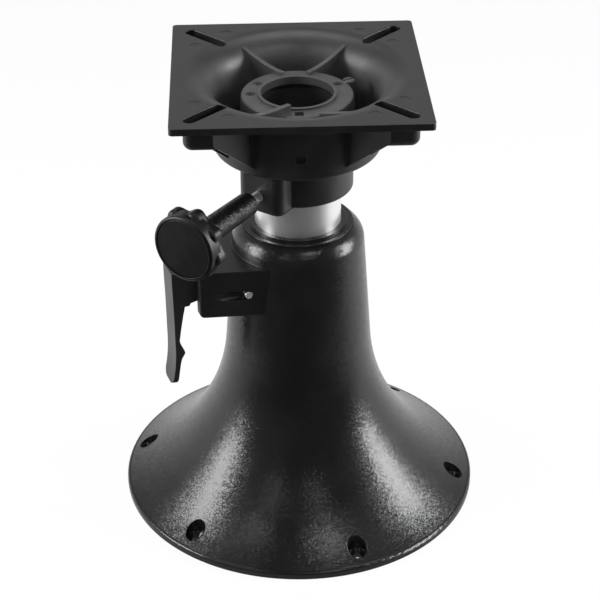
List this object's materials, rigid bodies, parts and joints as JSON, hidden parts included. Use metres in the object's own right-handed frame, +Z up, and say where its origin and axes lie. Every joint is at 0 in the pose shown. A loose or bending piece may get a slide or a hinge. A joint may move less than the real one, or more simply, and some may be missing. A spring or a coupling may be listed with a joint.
{
  "type": "adjustable seat pedestal",
  "caption": "Height-adjustable swivel seat pedestal with a flared bell base, silver column, slotted square seat plate, lobed lock knob and cam height lever.",
  "frame": {"origin": "centre of the base's underside, on the floor", "axes": "+Z up along the column, -X out through the cam lever"},
  "size_m": [0.274, 0.274, 0.3464],
  "materials": {
    "textured_black": "fine grain",
    "satin_black": "satin",
    "smooth_black": "soft gloss",
    "nylon_black": "matt",
    "friction_rubber": "matt",
    "satin_aluminium": "satin anodised",
    "bright_steel": "bright",
    "dark_steel": "blackened"
  },
  "bodies": {
    "base": {"bell_base": "textured_black", "upper_guide_bush": "smooth_black", "lever_pin": "bright_steel"},
    "column": {"column_tube": "satin_aluminium", "lower_slide_ring": "nylon_black", "slide_ring_rivet_1": "bright_steel", "slide_ring_rivet_2": "bright_steel", "slide_ring_rivet_3": "bright_steel"},
    "mount": {"seat_mount": "satin_black", "swivel_bush": "nylon_black", "thrust_washer": "nylon_black", "hub_screw_1": "dark_steel", "hub_screw_2": "dark_steel", "hub_screw_3": "dark_steel"},
    "pad": {"pressure_pad": "nylon_black"},
    "knob": {"lock_knob": "smooth_black", "lock_stud": "bright_steel", "knob_cap": "smooth_black"},
    "lever": {"cam_lever": "smooth_black"},
    "brake": {"brake_shoe": "nylon_black", "shoe_lining": "friction_rubber"}
  },
  "joints": [
    {"name": "height_slide", "type": "slide", "parent": "base", "child": "column", "axis": [0, 0, 1], "range_m": [-0.025, 0.1]},
    {"name": "seat_swivel", "type": "hinge", "parent": "column", "child": "mount", "pos_m": [0, 0, 0.3], "axis": [0, 0, 1], "continuous": true},
    {"name": "pad_slide", "type": "slide", "parent": "mount", "child": "pad", "axis": [-0.808, -0.5892, 0], "range_m": [0, 0.00301]},
    {"name": "knob_turn", "type": "hinge", "parent": "mount", "child": "knob", "pos_m": [-0.0808, -0.05892, 0.2697], "axis": [-0.808, -0.5892, 0], "range_deg": [0, 720]},
    {"name": "lever_pivot", "type": "hinge", "parent": "base", "child": "lever", "pos_m": [-0.0495, 0, 0.191], "axis": [0, 1, 0], "range_deg": [0, 28]},
    {"name": "brake_slide", "type": "slide", "parent": "base", "child": "brake", "axis": [-1, 0, 0], "range_m": [0, 0.00051]}
  ],
  "couplings": [
    {"joint": "pad_slide", "follows": "knob_turn", "m_per_rad": 0.00023873},
    {"joint": "brake_slide", "follows": "lever_pivot", "m_per_rad": 0.0010231}
  ]
}
